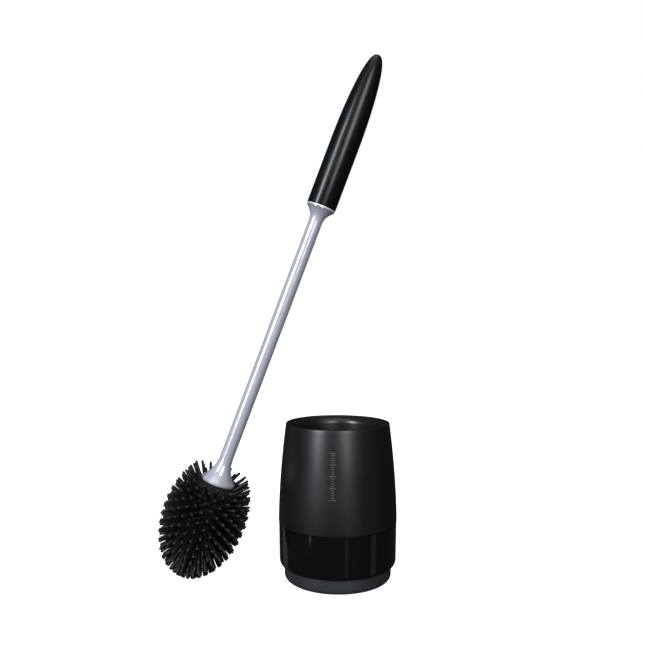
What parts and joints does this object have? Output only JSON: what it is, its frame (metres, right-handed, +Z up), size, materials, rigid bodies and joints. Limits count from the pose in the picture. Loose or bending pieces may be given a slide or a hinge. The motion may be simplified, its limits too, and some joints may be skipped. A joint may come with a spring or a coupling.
{
  "type": "toilet brush holder",
  "caption": "Barrel-shaped toilet brush holder with a lift-out cup, beside its long-handled brush with a round bristle head.",
  "frame": {"origin": "Centre of the underside of the holder's anti-slip pad, on the floor, on the axis of the holder.", "axes": "+Z is up along the holder's axis; +X points right, towards which the brush leans; +Y points to the back."},
  "size_m": [0.1783, 0.0882, 0.389],
  "materials": {
    "matte_black_plastic": "matte black moulded plastic, fine satin",
    "cup_black_plastic": "satin black moulded plastic",
    "gloss_black_plastic": "polished black plastic",
    "graphite_plastic": "satin graphite grey plastic",
    "iron_weight": "raw cast iron",
    "plated_steel": "zinc plated steel",
    "pad_rubber": "matte dark rubber",
    "grip_black_plastic": "satin to glossy black plastic",
    "white_core_plastic": "plain moulded white plastic",
    "chromed_trim": "bright chromed ring",
    "silver_lacquer": "glossy silver lacquer with a cool cast",
    "seal_rubber": "black rubber washer",
    "brass_insert": "machined brass",
    "bristle_rubber": "soft black thermoplastic rubber"
  },
  "bodies": {
    "holder": {"outer_shell": "matte_black_plastic", "gloss_band": "gloss_black_plastic", "base_foot": "graphite_plastic", "base_weight": "iron_weight", "base_screw_1": "plated_steel", "base_screw_2": "plated_steel", "base_screw_3": "plated_steel", "anti_slip_pad": "pad_rubber"},
    "cup": {"inner_cup": "cup_black_plastic"},
    "brush_head": {"head_core": "white_core_plastic", "threaded_insert": "brass_insert", "bristle_sleeve": "bristle_rubber"},
    "seal": {"flare_seal": "seal_rubber"},
    "handle": {"handle_grip": "grip_black_plastic", "handle_socket": "white_core_plastic", "rod_washer": "plated_steel", "rod_nut": "plated_steel", "core_rod": "plated_steel", "trim_ring": "chromed_trim", "shaft": "silver_lacquer"}
  },
  "joints": [
    {"name": "cup_lift", "type": "slide", "parent": "holder", "child": "cup", "axis": [0, 0, 1], "range_m": [0, 0.06]},
    {"name": "brush_lift", "type": "slide", "parent": "holder", "child": "brush_head", "axis": [0, 0, 1], "range_m": [0, 0.15]},
    {"name": "seal_travel", "type": "slide", "parent": "brush_head", "child": "seal", "axis": [0.3535, 0, 0.9354], "range_m": [0, 0.012]},
    {"name": "handle_turn", "type": "hinge", "parent": "seal", "child": "handle", "pos_m": [-0.0995, -0.0017, 0.04619], "axis": [0.3535, 0, 0.9354], "range_deg": [0, 2160]}
  ],
  "couplings": [
    {"joint": "seal_travel", "follows": "handle_turn", "m_per_rad": 0.00031831}
  ]
}
